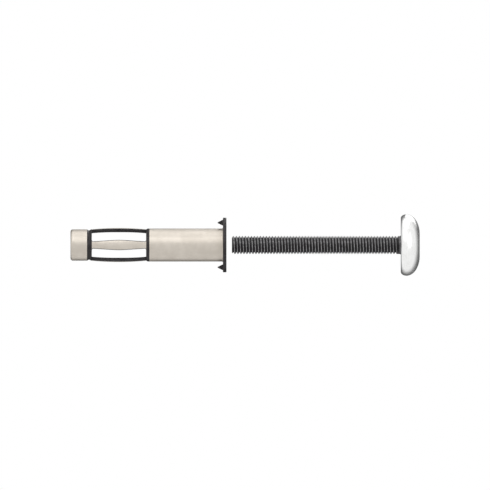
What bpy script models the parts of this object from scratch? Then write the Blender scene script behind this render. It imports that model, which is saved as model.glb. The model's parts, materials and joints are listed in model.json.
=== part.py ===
"""Metal hollow wall anchor: a slotted steel sleeve, the nut rolled into its end, and its screw.

Metres, +Z up. The origin is the centre of the flange's back face, the face that bears on the
wall, and +X points out of the wall along the screw's axis. The screw is drawn back out of the
sleeve, its tip just clear of the flange.
"""

import math
from dataclasses import dataclass

import bmesh
import bpy
from mathutils import Vector

# Machine screw, M6 with its standard pitch
SCREW_RADIUS = 0.0030
SHANK_LENGTH = 0.0563
THREAD_PITCH = 0.0010
THREAD_DEPTH = 0.00055
THREAD_CREST = 0.0002
THREAD_LEAD_IN = 0.00197
BLANK_MARGIN = 0.0003
TIP_CHAMFER = 0.0005
TIP_GAP = 0.0018
HEAD_RADIUS = 0.01025
HEAD_HEIGHT = 0.0063
HEAD_FLAT_RADIUS = 0.00375
HEAD_EDGE_RISE = 0.0019
HEAD_EDGE_REACH = 0.0013
HEAD_ROOT = 0.0004
NECK_LENGTH = 0.0003
NECK_RISE = 0.0001

# Cross recess in the top of the head
RECESS_SPAN = 0.0069
RECESS_WING = 0.0020
RECESS_FOOT_SPAN = 0.0030
RECESS_FOOT_WING = 0.0013
RECESS_DEPTH = 0.0035
RECESS_POINT = 0.0004

# Nut held in the sleeve's end: its bore is left plain, clear of the screw's thread
THREAD_CLEARANCE = 0.00012
NUT_WALL = 0.00068
NUT_CLEARANCE = 0.00022
NUT_CHAMFER = 0.0002

# Sleeve: one piece of sheet, from the flange to the rolled end
SHEET = 0.0012
SLEEVE_LENGTH = 0.0520
SLOT_LENGTH = 0.0181
COLLAR_LENGTH = 0.0071
SHOULDER_STEP = 0.00028
SHOULDER_RAMP = 0.0006
LEG_COUNT = 4
LEG_WIDTH_END = 0.0024
LEG_WIDTH_MIDDLE = 0.00345
LEG_PEAK_ROUNDING = 0.0011
LEG_BOW = 0.00043
SLOT_CORNER = 0.0005
FLANGE_WIDTH = 0.0036
FLANGE_FILLET = 0.00035
RIM_CHAMFER = 0.00015
GROOVE_MARGIN = 0.0001
GROOVE_WIDTH = 0.0016
GROOVE_DEPTH = 0.00033
END_ROUND = 0.0008
LIP_CLEARANCE = 0.0004

# Prongs: tabs cut from the flange on three sides and folded back into the wall
PRONG_SECTORS = (1, 3)
PRONG_WIDTH = 0.0020
PRONG_LENGTH = 0.00175
PRONG_BEND = 0.00015
PRONG_RELIEF = 0.00012
PRONG_TIP = 0.00016
WINDOW_MARGIN = 0.0005

# Fineness of the mesh
TURNED_STEPS = 48
THREAD_STEPS = 16
THREAD_TURN = math.pi / TURNED_STEPS
CURVE_STEPS = 6
BEND_STEPS = 3
CORNER_STEPS = 3
LEG_STEPS = 10
GROOVE_STEPS = 6
LEG_COLUMNS = 4
SLOT_COLUMNS = 8
SMOOTH_ANGLE = math.radians(35)
MERGE_DISTANCE = 1e-6

# Sizes that follow from the ones above
NUT_BORE = SCREW_RADIUS + THREAD_CLEARANCE
NUT_RADIUS = NUT_BORE + NUT_WALL
COLLAR_BORE = NUT_RADIUS + NUT_CLEARANCE
COLLAR_RADIUS = COLLAR_BORE + SHEET
BARREL_RADIUS = COLLAR_RADIUS + SHOULDER_STEP
FLANGE_RADIUS = BARREL_RADIUS + FLANGE_WIDTH
LIP_RADIUS = SCREW_RADIUS + LIP_CLEARANCE
SLEEVE_END = SHEET - SLEEVE_LENGTH
SLOT_END = SLEEVE_END + COLLAR_LENGTH
SLOT_START = SLOT_END + SLOT_LENGTH
GROOVE_START = SLOT_END - GROOVE_MARGIN
GROOVE_END = GROOVE_START - GROOVE_WIDTH
HEAD_SEAT = SHEET + TIP_GAP + SHANK_LENGTH
FLAT_INNER = BARREL_RADIUS + FLANGE_FILLET
FLAT_OUTER = FLANGE_RADIUS - RIM_CHAMFER
PRONG_RADIUS = (FLAT_INNER + FLAT_OUTER) / 2

# The columns of the sleeve's grid: one leg and one slot to a sector
SECTOR_COLUMNS = LEG_COLUMNS + SLOT_COLUMNS
SECTOR_ANGLE = 2 * math.pi / LEG_COUNT
COLUMN_COUNT = LEG_COUNT * SECTOR_COLUMNS
TIP_COLUMN, TAPER_COLUMN, FOLD_COLUMN = 1, 2, 3

# The flange's window, measured sideways from the line that its prong is folded on
FOLD_OFFSET = PRONG_BEND + SHEET / 2
WINDOW_SHOULDER = PRONG_BEND + SHEET + PRONG_RELIEF
WINDOW_DEPTH = WINDOW_SHOULDER + PRONG_LENGTH - PRONG_BEND


@dataclass
class Station:
    """One ring of the sheet: an (x, radius) on its outer face and the one across the sheet.

    slotted says that the slots are open from this ring to the next one. window_side is 1 on the
    ring along the outer side of the flange's windows, -1 along their inner side, and 0 elsewhere.
    """

    outer: tuple
    inner: tuple
    leg_angle: float
    slotted: bool = False
    window_side: int = 0


def clear_scene():
    for old in list(bpy.data.objects):
        bpy.data.objects.remove(old, do_unlink=True)


def metal(name, color, roughness, metallic):
    material = bpy.data.materials.new(name)
    material.use_nodes = True
    shader = material.node_tree.nodes["Principled BSDF"]
    shader.inputs["Base Color"].default_value = (*color, 1.0)
    shader.inputs["Roughness"].default_value = roughness
    shader.inputs["Metallic"].default_value = metallic
    return material


def finish(name, bm, material):
    """Turns a bmesh into a named object with its faces out, round faces smooth and edges sharp."""
    bmesh.ops.recalc_face_normals(bm, faces=bm.faces)
    mesh = bpy.data.meshes.new(name)
    bm.to_mesh(mesh)
    bm.free()
    mesh.shade_smooth()
    mesh.set_sharp_from_angle(angle=SMOOTH_ANGLE)
    mesh.materials.append(material)
    obj = bpy.data.objects.new(name, mesh)
    bpy.context.scene.collection.objects.link(obj)
    return obj


def turned(name, profile, material, closed=False, steps=TURNED_STEPS):
    """Spins an (x, radius) profile about the X axis. A closed profile makes a ring."""
    bm = bmesh.new()
    points = [bm.verts.new((x, 0.0, radius)) for x, radius in profile]
    pairs = list(zip(points, points[1:]))
    if closed:
        pairs.append((points[-1], points[0]))
    edges = [bm.edges.new(pair) for pair in pairs]
    bmesh.ops.spin(
        bm,
        geom=points + edges,
        axis=(1.0, 0.0, 0.0),
        angle=2 * math.pi,
        steps=steps,
    )
    bmesh.ops.remove_doubles(bm, verts=bm.verts, dist=MERGE_DISTANCE)
    return finish(name, bm, material)


def quarter_turns(steps):
    """Angles from 0 to 90 degrees."""
    return [math.pi / 2 * step / steps for step in range(steps + 1)]


def flange_stations():
    """From the rim inwards over the flange, and round the bend into the barrel."""
    spread = window_spread()
    rim_sides = (RIM_CHAMFER, FLANGE_RADIUS), (SHEET - RIM_CHAMFER, FLANGE_RADIUS)
    stations = [Station(*rim_sides, spread), Station((0.0, FLAT_OUTER), (SHEET, FLAT_OUTER), spread)]
    for side in (1, -1):
        radius = PRONG_RADIUS + side * PRONG_WIDTH / 2
        stations.append(Station((0.0, radius), (SHEET, radius), spread, window_side=side))
    for turn in quarter_turns(BEND_STEPS):
        faces = []
        for reach in (FLANGE_FILLET, FLANGE_FILLET + SHEET):
            x = reach * math.cos(turn) - FLANGE_FILLET
            faces.append((x, FLAT_INNER - reach * math.sin(turn)))
        stations.append(Station(*faces, spread))
    return stations


def window_spread():
    """Half the angle of the columns that the flange's window lies within."""
    fold = math.asin(FOLD_OFFSET / PRONG_RADIUS)
    beyond_tip = math.atan((WINDOW_DEPTH + WINDOW_MARGIN) / PRONG_RADIUS)
    return max(fold, beyond_tip - fold)


def leg_root_angle():
    """Half the angle of a leg where its sides run out into the full ring."""
    return math.asin((LEG_WIDTH_END / 2 + SLOT_CORNER) / COLLAR_RADIUS)


def shoulder_stations():
    """The end of the barrel, drawn in to the diameter of the legs."""
    stations = []
    for step in range(BEND_STEPS):
        share = step / BEND_STEPS
        x = SLOT_START + SHOULDER_RAMP * (1 - share)
        radius = BARREL_RADIUS - SHOULDER_STEP * (1 - math.cos(math.pi * share)) / 2
        stations.append(Station((x, radius), (x, radius - SHEET), leg_root_angle()))
    return stations


def leg_half_width(along):
    """Half a leg's width at a distance along its slots: widest in the middle, flared at both ends."""
    from_middle = abs(2 * along / SLOT_LENGTH - 1)
    peak = 2 * LEG_PEAK_ROUNDING / SLOT_LENGTH
    fall = math.hypot(from_middle, peak) - peak
    share = 1 - fall / (math.hypot(1, peak) - peak)
    half = (LEG_WIDTH_END + (LEG_WIDTH_MIDDLE - LEG_WIDTH_END) * share) / 2
    from_end = min(along, SLOT_LENGTH - along)
    if from_end >= SLOT_CORNER:
        return half
    across = SLOT_CORNER - from_end
    return half + SLOT_CORNER - math.sqrt(SLOT_CORNER**2 - across**2)


def leg_stations():
    """Along the slots, with rings close together round the corners at both ends."""
    corner = [SLOT_CORNER * (1 - math.cos(turn)) for turn in quarter_turns(CORNER_STEPS)]
    straight = SLOT_LENGTH - 2 * SLOT_CORNER
    middle = [SLOT_CORNER + straight * step / LEG_STEPS for step in range(1, LEG_STEPS)]
    places = corner + middle + [SLOT_LENGTH - place for place in reversed(corner)]
    stations = []
    for along in places:
        x = SLOT_START - along
        radius = COLLAR_RADIUS + LEG_BOW * (1 - (2 * along / SLOT_LENGTH - 1) ** 2)
        angle = math.asin(leg_half_width(along) / radius)
        stations.append(Station((x, radius), (x, radius - SHEET), angle, slotted=True))
    stations[-1].slotted = False
    return stations


def collar_stations():
    """The crimped groove, the plain collar and the end rolled in over the nut."""
    angle = leg_root_angle()
    stations = []
    for step in range(GROOVE_STEPS + 1):
        share = step / GROOVE_STEPS
        x = GROOVE_START + (GROOVE_END - GROOVE_START) * share
        radius = COLLAR_RADIUS - GROOVE_DEPTH * (1 - math.cos(2 * math.pi * share)) / 2
        stations.append(Station((x, radius), (x, radius - SHEET), angle))
    inner_round = min(END_ROUND / 4, (COLLAR_BORE - LIP_RADIUS) / 2)
    for turn in quarter_turns(CORNER_STEPS):
        rise, run = math.cos(turn), math.sin(turn)
        outer_x = SLEEVE_END + END_ROUND * (1 - run)
        inner_x = SLEEVE_END + SHEET + inner_round * (1 - run)
        outer_radius = COLLAR_RADIUS - END_ROUND * (1 - rise)
        inner_radius = COLLAR_BORE - inner_round * (1 - rise)
        stations.append(Station((outer_x, outer_radius), (inner_x, inner_radius), angle))
    stations.append(Station((SLEEVE_END, LIP_RADIUS), (SLEEVE_END + SHEET, LIP_RADIUS), angle))
    return stations


def column_angle(column, leg_angle):
    """The angle of a column about the X axis, where half a leg takes up leg_angle."""
    sector, place = divmod(column, SECTOR_COLUMNS)
    if place <= LEG_COLUMNS:
        return sector * SECTOR_ANGLE + leg_angle * (2 * place / LEG_COLUMNS - 1)
    share = (place - LEG_COLUMNS) / SLOT_COLUMNS
    return sector * SECTOR_ANGLE + leg_angle + share * (SECTOR_ANGLE - 2 * leg_angle)


def fold_point(sector, out, aside, x):
    """A point given from the line that this sector's prong is folded on, out being its radius."""
    angle = sector * SECTOR_ANGLE + math.asin(FOLD_OFFSET / PRONG_RADIUS)
    radial = Vector((0.0, math.cos(angle), math.sin(angle)))
    sideways = Vector((0.0, math.sin(angle), -math.cos(angle)))
    return out * radial + aside * sideways + Vector((x, 0.0, 0.0))


def window_point(station, column, x):
    """The corner of a flange window on this ring and column, or None where the grid is plain."""
    sector, place = divmod(column, SECTOR_COLUMNS)
    asides = {TIP_COLUMN: WINDOW_DEPTH, TAPER_COLUMN: WINDOW_SHOULDER, FOLD_COLUMN: 0.0}
    if not station.window_side or sector not in PRONG_SECTORS or place not in asides:
        return None
    width = PRONG_TIP if place == TIP_COLUMN else PRONG_WIDTH
    out = PRONG_RADIUS + station.window_side * width / 2
    return fold_point(sector, out, asides[place], x)


def is_open(stations, row, column):
    """Is the cell after this ring and column cut out, as a slot or a window?"""
    sector, place = divmod(column % COLUMN_COUNT, SECTOR_COLUMNS)
    if not 0 <= row < len(stations) - 1:
        return False
    if stations[row].window_side == 1:
        return sector in PRONG_SECTORS and TIP_COLUMN <= place < FOLD_COLUMN
    return stations[row].slotted and place >= LEG_COLUMNS


def add_prong(bm, sector, root):
    """Folds a tab back from the four corners at its root: top and foot outside, foot and top in."""
    sections = [root]
    for turn in quarter_turns(BEND_STEPS)[1:]:
        sections.append(prong_section(bm, sector, turn, 0.0, PRONG_WIDTH / 2 - PRONG_RELIEF))
    reach = PRONG_LENGTH - PRONG_BEND
    sections.append(prong_section(bm, sector, math.pi / 2, reach, PRONG_TIP / 2))
    for near, far in zip(sections, sections[1:]):
        for i in range(4):
            k = (i + 1) % 4
            bm.faces.new((near[i], near[k], far[k], far[i]))
    bm.faces.new(sections[-1])


def prong_section(bm, sector, turn, reach, half):
    """Four corners of the folded tab, after a turn of the bend and a straight reach past it."""
    corners = []
    for thick, sides in ((0.0, (1, -1)), (SHEET, (-1, 1))):
        aside = (PRONG_BEND + thick) * math.sin(turn)
        x = (PRONG_BEND + thick) * math.cos(turn) - PRONG_BEND - reach
        for side in sides:
            place = fold_point(sector, PRONG_RADIUS + side * half, aside, x)
            corners.append(bm.verts.new(place))
    return corners


def sheet_layer(bm, stations, layer):
    """The grid of points on one face of the sheet, by ring and column."""
    grid = []
    for station in stations:
        x, radius = getattr(station, layer)
        ring = []
        for column in range(COLUMN_COUNT):
            angle = column_angle(column, station.leg_angle)
            place = window_point(station, column, x)
            if place is None:
                place = (x, radius * math.cos(angle), radius * math.sin(angle))
            ring.append(bm.verts.new(place))
        grid.append(ring)
    return grid


def add_walls(bm, stations, outer, inner, row, column):
    """Walls across the sheet where this open cell borders on metal, or the prong on its fold."""
    after = (column + 1) % COLUMN_COUNT
    borders = (
        (row - 1, column, (row, column), (row, after)),
        (row + 1, column, (row + 1, column), (row + 1, after)),
        (row, column - 1, (row, column), (row + 1, column)),
        (row, column + 1, (row, after), (row + 1, after)),
    )
    for next_row, next_column, (row_a, column_a), (row_b, column_b) in borders:
        if is_open(stations, next_row, next_column):
            continue
        wall = [
            outer[row_a][column_a],
            outer[row_b][column_b],
            inner[row_b][column_b],
            inner[row_a][column_a],
        ]
        on_fold = column_a == column_b and column_a % SECTOR_COLUMNS == FOLD_COLUMN
        if on_fold and stations[row].window_side == 1:
            add_prong(bm, column // SECTOR_COLUMNS, wall)
        else:
            bm.faces.new(wall)


def make_sleeve(material):
    stations = flange_stations() + shoulder_stations() + leg_stations() + collar_stations()
    bm = bmesh.new()
    outer = sheet_layer(bm, stations, "outer")
    inner = sheet_layer(bm, stations, "inner")
    last = len(stations) - 1
    for column in range(COLUMN_COUNT):
        after = (column + 1) % COLUMN_COUNT
        for row in range(last):
            if is_open(stations, row, column):
                add_walls(bm, stations, outer, inner, row, column)
                continue
            for grid in (outer, inner):
                below = grid[row + 1]
                bm.faces.new((grid[row][column], grid[row][after], below[after], below[column]))
        for row in (0, last):
            edge = (outer[row][column], outer[row][after], inner[row][after], inner[row][column])
            bm.faces.new(edge)
    unused = [point for point in bm.verts if not point.link_faces]
    bmesh.ops.delete(bm, geom=unused, context="VERTS")
    return finish("anchor_sleeve", bm, material)


def make_nut(material):
    """A ring between the groove and the rolled end, its bore clear of the screw."""
    front = GROOVE_END - NUT_CLEARANCE
    back = SLEEVE_END + SHEET + NUT_CLEARANCE
    bore, outside, chamfer = NUT_BORE, NUT_RADIUS, NUT_CHAMFER
    profile = [
        (front, bore + chamfer),
        (front, outside - chamfer),
        (front - chamfer, outside),
        (back + chamfer, outside),
        (back, outside - chamfer),
        (back, bore + chamfer),
        (back + chamfer, bore),
        (front - chamfer, bore),
    ]
    return turned("threaded_nut", profile, material, closed=True)


def head_profile():
    """Half the head's outline from its seat to its flat top: a rounded edge, then the crown."""
    points = []
    for turn in quarter_turns(BEND_STEPS):
        x = HEAD_EDGE_RISE * (1 - math.cos(turn))
        points.append((x, HEAD_RADIUS - HEAD_EDGE_REACH * (1 - math.sin(turn))))
    rise = HEAD_HEIGHT - HEAD_EDGE_RISE
    reach = HEAD_RADIUS - HEAD_FLAT_RADIUS
    for turn in quarter_turns(CURVE_STEPS)[1:]:
        x = HEAD_EDGE_RISE + rise * math.sin(turn)
        points.append((x, HEAD_FLAT_RADIUS + reach * math.cos(turn)))
    return points


def cross_outline(bm, x, span, wing):
    """Twelve corners of a cross in the plane at x."""
    corners = []
    for arm in range(4):
        turn = arm * math.pi / 2
        for out, aside in ((span, -wing), (span, wing), (wing, wing)):
            y = out * math.cos(turn) - aside * math.sin(turn)
            z = out * math.sin(turn) + aside * math.cos(turn)
            corners.append(bm.verts.new((x, y / 2, z / 2)))
    return corners


def make_recess_cutter(material):
    """The tapered cross of the driver, from above the head's top down to its point."""
    bm = bmesh.new()
    foot_x = HEAD_HEIGHT - RECESS_DEPTH + RECESS_POINT
    over = (RECESS_SPAN - RECESS_FOOT_SPAN) / (HEAD_HEIGHT - foot_x)
    above = RECESS_POINT
    top = cross_outline(bm, HEAD_HEIGHT + above, RECESS_SPAN + over * above, RECESS_WING)
    foot = cross_outline(bm, foot_x, RECESS_FOOT_SPAN, RECESS_FOOT_WING)
    point = bm.verts.new((HEAD_HEIGHT - RECESS_DEPTH, 0.0, 0.0))
    bm.faces.new(top)
    for i, corner in enumerate(foot):
        k = (i + 1) % len(foot)
        bm.faces.new((top[i], top[k], foot[k], corner))
        bm.faces.new((corner, foot[k], point))
    return finish("recess_cutter", bm, material)


def make_thread(material):
    """A right-handed thread about the X axis, from before the shank's tip to inside the head.

    Each section is a root and the two sides of a crest, THREAD_STEPS of them to a turn, and the
    root one turn further on completes its outline. THREAD_TURN keeps its edges off the head's.
    """
    bm = bmesh.new()
    root_radius = SCREW_RADIUS - THREAD_DEPTH
    flank = (THREAD_PITCH - THREAD_CREST) / 2
    start = -SHANK_LENGTH - THREAD_LEAD_IN
    count = math.ceil((HEAD_ROOT - start) * THREAD_STEPS / THREAD_PITCH)

    def point(k, along, radius):
        x = start + k * THREAD_PITCH / THREAD_STEPS + along
        turn = 2 * math.pi * k / THREAD_STEPS + THREAD_TURN
        return bm.verts.new((x, -radius * math.sin(turn), radius * math.cos(turn)))

    roots = [point(k, 0.0, root_radius) for k in range(count + THREAD_STEPS + 1)]
    risen = [point(k, flank, SCREW_RADIUS) for k in range(count + 1)]
    falling = [point(k, flank + THREAD_CREST, SCREW_RADIUS) for k in range(count + 1)]
    for k in range(count):
        for near, far in ((roots, risen), (risen, falling), (falling, roots[THREAD_STEPS:])):
            bm.faces.new((near[k], far[k], far[k + 1], near[k + 1]))
    for end, x in ((0, roots[0].co.x), (count, roots[-1].co.x)):
        middle = bm.verts.new((x, 0.0, 0.0))
        rim = [*roots[end:end + THREAD_STEPS + 1], falling[end], risen[end]]
        for i, corner in enumerate(rim):
            bm.faces.new((middle, corner, rim[(i + 1) % len(rim)]))
    return finish("threaded_shank", bm, material)


def make_blank(material):
    """The shank's bare outline, clear of the thread but for the chamfer at the tip."""
    radius = SCREW_RADIUS + BLANK_MARGIN
    end = HEAD_ROOT + 2 * THREAD_PITCH
    profile = [
        (-SHANK_LENGTH, 0.0),
        (-SHANK_LENGTH, SCREW_RADIUS - TIP_CHAMFER),
        (TIP_CHAMFER + BLANK_MARGIN - SHANK_LENGTH, radius),
        (end, radius),
        (end, 0.0),
    ]
    return turned("shank_blank", profile, material, steps=THREAD_STEPS)


def apply_helper(obj, helper, operation):
    """Joins, cuts or trims an object with a hidden helper, which is hung on it."""
    modifier = obj.modifiers.new(helper.name, "BOOLEAN")
    modifier.operation = operation
    modifier.solver = "EXACT"
    modifier.object = helper
    helper.parent = obj
    helper.hide_render = True
    helper.display_type = "WIRE"


def make_screw(material):
    """The screw, its origin in the middle of the head's seat, on the axis that it slides along.

    A short plain neck under the head is a little thicker than the thread, and so a plate with
    the seat's outline slips over the thread.
    """
    neck_radius = SCREW_RADIUS + NECK_RISE
    neck = [(-NECK_LENGTH, 0.0), (-NECK_LENGTH, neck_radius), (0.0, neck_radius)]
    profile = [*neck, *head_profile(), (HEAD_HEIGHT, 0.0)]
    screw = turned("machine_screw", profile, material)
    screw.location.x = HEAD_SEAT
    shank = make_thread(material)
    apply_helper(shank, make_blank(material), "INTERSECT")
    apply_helper(screw, shank, "UNION")
    apply_helper(screw, make_recess_cutter(material), "DIFFERENCE")
    return screw


def main():
    clear_scene()
    make_sleeve(metal("passivated zinc", (0.63, 0.58, 0.52), 0.42, 0.75))
    make_nut(metal("dark steel", (0.22, 0.21, 0.20), 0.40, 0.9))
    make_screw(metal("bright zinc", (0.80, 0.80, 0.80), 0.28, 0.9))


main()
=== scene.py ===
"""Looks of a metal hollow wall anchor: its slotted sleeve, the nut in its end and its screw.

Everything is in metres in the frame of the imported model: the origin is the centre of the flange's
back face, +X points out of the wall along the screw, and +Z is up. Each real piece is one object
that stands for its solid, made finer: sheared edges are rounded, and the threads are cut.
"""

import json
import logging
import math
from dataclasses import dataclass
from enum import Enum
from typing import Any, Optional, Sequence, Union

import bmesh
import bpy
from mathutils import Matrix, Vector
from mathutils.kdtree import KDTree


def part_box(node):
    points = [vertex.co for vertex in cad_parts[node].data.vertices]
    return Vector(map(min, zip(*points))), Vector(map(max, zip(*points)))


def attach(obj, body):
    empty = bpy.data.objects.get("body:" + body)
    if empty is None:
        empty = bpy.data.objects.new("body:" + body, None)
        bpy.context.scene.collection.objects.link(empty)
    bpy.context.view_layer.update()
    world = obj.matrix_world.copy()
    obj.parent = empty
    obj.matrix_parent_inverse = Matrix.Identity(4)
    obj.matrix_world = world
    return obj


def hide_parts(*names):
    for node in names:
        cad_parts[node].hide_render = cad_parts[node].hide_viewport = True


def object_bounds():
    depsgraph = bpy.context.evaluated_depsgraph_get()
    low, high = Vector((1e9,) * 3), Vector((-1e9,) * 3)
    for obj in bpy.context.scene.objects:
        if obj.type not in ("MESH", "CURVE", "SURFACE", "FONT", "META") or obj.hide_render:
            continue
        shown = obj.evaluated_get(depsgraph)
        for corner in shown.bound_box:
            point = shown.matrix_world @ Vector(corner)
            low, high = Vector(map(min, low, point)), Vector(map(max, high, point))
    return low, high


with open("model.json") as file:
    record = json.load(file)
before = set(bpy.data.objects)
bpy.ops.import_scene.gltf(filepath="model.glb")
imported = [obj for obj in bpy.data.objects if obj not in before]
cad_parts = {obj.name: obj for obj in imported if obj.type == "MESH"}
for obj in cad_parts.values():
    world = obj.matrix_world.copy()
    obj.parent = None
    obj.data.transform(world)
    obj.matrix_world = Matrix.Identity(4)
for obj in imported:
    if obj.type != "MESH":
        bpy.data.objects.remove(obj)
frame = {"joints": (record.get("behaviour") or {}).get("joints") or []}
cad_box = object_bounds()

log = logging.getLogger("wall_anchor")

MM = 0.001
MERGE_DISTANCE = 1e-7
BEVEL_SEGMENTS = 2
SLIVER = 0.002 * MM
SHARP_ANGLE = math.radians(12)
GRAIN_WAVES = 9000.0
GRAIN_HEIGHT = 0.02 * MM
NOISE_ROUGHNESS = 0.55

Point2 = tuple[float, float]
Point3 = tuple[float, float, float]
Colour = tuple[float, float, float]
Socket = bpy.types.NodeSocket
Material = bpy.types.Material
Piece = bpy.types.Object
BMesh = bmesh.types.BMesh
Vert = bmesh.types.BMVert
Grid = list[list[Vert]]


class Region(Enum):
    """What a face of the sheet is. The value is its material index while the mesh is made."""

    COATED = 0
    SHEARED = 1
    PRONG = 2


class Layer(Enum):
    """The two faces of the sheet. The value is the name of their points in a Station."""

    OUTER = "outer"
    INNER = "inner"


class ThreadSide(Enum):
    """Whether a thread is cut round a shank or inside a bore."""

    EXTERNAL = "external"
    INTERNAL = "internal"


class NodeGraph:
    """A node tree under construction, with short ways to add and join its nodes."""

    def __init__(self, tree: bpy.types.NodeTree) -> None:
        """Takes a tree to add to."""
        self.tree = tree

    def give(self, socket: Socket, value: Any) -> None:
        """Fills an input.

        Args:
            socket: The input.
            value: Its value, a colour without alpha, or the socket to join to it.
        """
        if isinstance(value, bpy.types.NodeSocket):
            self.tree.links.new(value, socket)
        elif socket.type == "RGBA":
            socket.default_value = (*value, 1.0)
        else:
            socket.default_value = value

    def add(self, kind: str, inputs: Optional[dict[Any, Any]] = None, **settings: Any) -> bpy.types.Node:
        """Adds one node.

        Args:
            kind: The node's type name.
            inputs: Socket names or numbers, each with what it is given.
            **settings: Properties of the node, set before its inputs.

        Returns:
            The new node.
        """
        node = self.tree.nodes.new(kind)
        for name, value in settings.items():
            setattr(node, name, value)
        for key, value in (inputs or {}).items():
            self.give(node.inputs[key], value)
        return node

    def math(self, operation: str, *values: Any, clamp: bool = False) -> Socket:
        """The result of a Math node, with numbers or sockets for its inputs in order."""
        inputs = dict(enumerate(values))
        return self.add("ShaderNodeMath", inputs, operation=operation, use_clamp=clamp).outputs[0]

    def ramp(
        self, value: Socket, low: float, high: float, to_low: float = 0.0, to_high: float = 1.0
    ) -> Socket:
        """Maps a value smoothly from one range to another, and holds it at both ends."""
        inputs = {0: value, 1: low, 2: high, 3: to_low, 4: to_high}
        return self.add("ShaderNodeMapRange", inputs, interpolation_type="SMOOTHSTEP").outputs[0]

    def mix(self, share: Any, first: Any, second: Any) -> Socket:
        """The mix of two colours or their sockets. At a share of 1 only the second shows."""
        return self.add("ShaderNodeMix", {0: share, 6: first, 7: second}, data_type="RGBA").outputs[2]


class FinishGraph(NodeGraph):
    """A material under construction, whose patterns read the object's own coordinates."""

    def __init__(self, name: str, metallic: float) -> None:
        """Makes the material and its shader.

        Args:
            name: The material's name.
            metallic: How far it is a bare metal.
        """
        self.material = bpy.data.materials.new(name)
        self.material.use_nodes = True
        super().__init__(self.material.node_tree)
        self.shader = self.tree.nodes["Principled BSDF"]
        self.give(self.shader.inputs["Metallic"], metallic)
        self.place = self.add("ShaderNodeTexCoord").outputs["Object"]

    def noise(self, waves: Union[float, Point3], detail: float = 3.0) -> Socket:
        """Adds a noise of about even strength from 0 to 1.

        Args:
            waves: Waves to the metre, the same all ways or along each axis.
            detail: How many finer layers it has.

        Returns:
            The noise's socket.
        """
        place, scale = self.place, waves
        if isinstance(waves, tuple):
            place = self.add("ShaderNodeMapping", {"Vector": place, "Scale": waves}).outputs[0]
            scale = 1.0
        inputs = {"Vector": place, "Scale": scale, "Detail": detail, "Roughness": NOISE_ROUGHNESS}
        return self.add("ShaderNodeTexNoise", inputs).outputs[0]

    def stored(self, name: str) -> Socket:
        """A value that the mesh stores at its points."""
        return self.add("ShaderNodeAttribute", attribute_name=name).outputs["Fac"]

    def along_and_radius(self) -> tuple[Socket, Socket]:
        """Takes the object's own coordinates round the X axis.

        Returns:
            The place along the axis, and the distance from it.
        """
        along, *sides = self.add("ShaderNodeSeparateXYZ", {0: self.place}).outputs
        squares = [self.math("MULTIPLY", side, side) for side in sides]
        return along, self.math("SQRT", self.math("ADD", *squares))


@dataclass(frozen=True)
class MetalFinish:
    """What all the metal finishes share: how metallic and rough they are, and how deep their grain is."""

    name: str
    metallic: float
    roughness: float
    grain_depth: float

    def finished(self, metal: FinishGraph, colour: Socket, *marks: tuple[Socket, float]) -> Material:
        """Joins the patterns to the shader.

        Args:
            metal: The material's graph.
            colour: The base colour.
            *marks: Patterns from 0 to 1, each with what it adds to the roughness at 1. The first
                adds half of it above the finish's roughness and half below, and is also a relief
                under the fine grain.

        Returns:
            The material.
        """
        relief, swing = marks[0]
        matt = self.roughness - swing / 2
        for pattern, weight in marks:
            matt = metal.math("MULTIPLY_ADD", pattern, weight, matt)
        height = metal.math("ADD", metal.noise(GRAIN_WAVES, detail=4.0), relief)
        settings = {"Height": height, "Strength": self.grain_depth, "Distance": GRAIN_HEIGHT}
        bump = metal.add("ShaderNodeBump", settings).outputs[0]
        for name, socket in (("Base Color", colour), ("Roughness", matt), ("Normal", bump)):
            metal.give(metal.shader.inputs[name], socket)
        return metal.material


@dataclass(frozen=True)
class CoatedStrip(MetalFinish):
    """Strip steel with a warm grey zinc passivate: bare and dark where it was sheared or rolled, and
    darkened as painted shade in the crimped groove and at the shoulder.

    The coat is gone up to wear_from of a sheared edge and whole from wear_to on, and ragged is how
    uneven the line between them is.
    """

    coat: Colour = (0.640, 0.590, 0.525)
    coat_shade: Colour = (0.570, 0.522, 0.460)
    bare: Colour = (0.019, 0.018, 0.019)
    bare_light: Colour = (0.066, 0.062, 0.064)
    wear_from: float = 0.07 * MM
    wear_to: float = 0.21 * MM
    ragged: float = 0.10 * MM

    def build(self) -> Material:
        """Makes the material, which reads the mesh's own edge distance and its mark of rolling wear and
        painted shade.

        Returns:
            The material.
        """
        metal = FinishGraph(self.name, self.metallic)
        clouds = metal.ramp(metal.noise(260.0), 0.35, 0.70)
        draw_lines = metal.noise((220.0, 2600.0, 2600.0), detail=5.0)
        specks = metal.ramp(metal.noise(2400.0, detail=2.0), 0.62, 0.75)
        coat = metal.mix(clouds, self.coat_shade, self.coat)
        for marks, strength in ((draw_lines, 0.35), (specks, 0.20)):
            coat = metal.mix(metal.math("MULTIPLY", marks, strength), coat, self.coat_shade)
        distance = metal.stored("edge_distance")
        distance = metal.math("MULTIPLY_ADD", metal.noise(3200.0), -self.ragged, distance)
        worn = metal.ramp(distance, self.wear_from, self.wear_to, 1.0, 0.0)
        # Dark steel where the mesh marks it: rolling wear plus painted shade in the crimped groove and at
        # the shoulder, and the bare prongs.
        uneven = metal.math("MULTIPLY_ADD", metal.noise(1800.0), 0.7, metal.stored("rubbed"))
        rolled = metal.ramp(uneven, 0.70, 1.00)
        bare_and_shaded = metal.math("MAXIMUM", worn, rolled)
        shear_lines = metal.noise((900.0, 5200.0, 5200.0), detail=4.0)
        roll_lines = metal.noise((9500.0, 420.0, 420.0), detail=4.0)
        lines = metal.math("MULTIPLY", metal.math("SUBTRACT", 1.0, rolled), shear_lines)
        lines = metal.math("MULTIPLY_ADD", rolled, roll_lines, lines)
        steel = metal.mix(metal.ramp(lines, 0.30, 0.75), self.bare, self.bare_light)
        colour = metal.mix(bare_and_shaded, coat, steel)
        return self.finished(metal, colour, (draw_lines, 0.16), (bare_and_shaded, 0.06), (clouds, -0.05))


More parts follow.
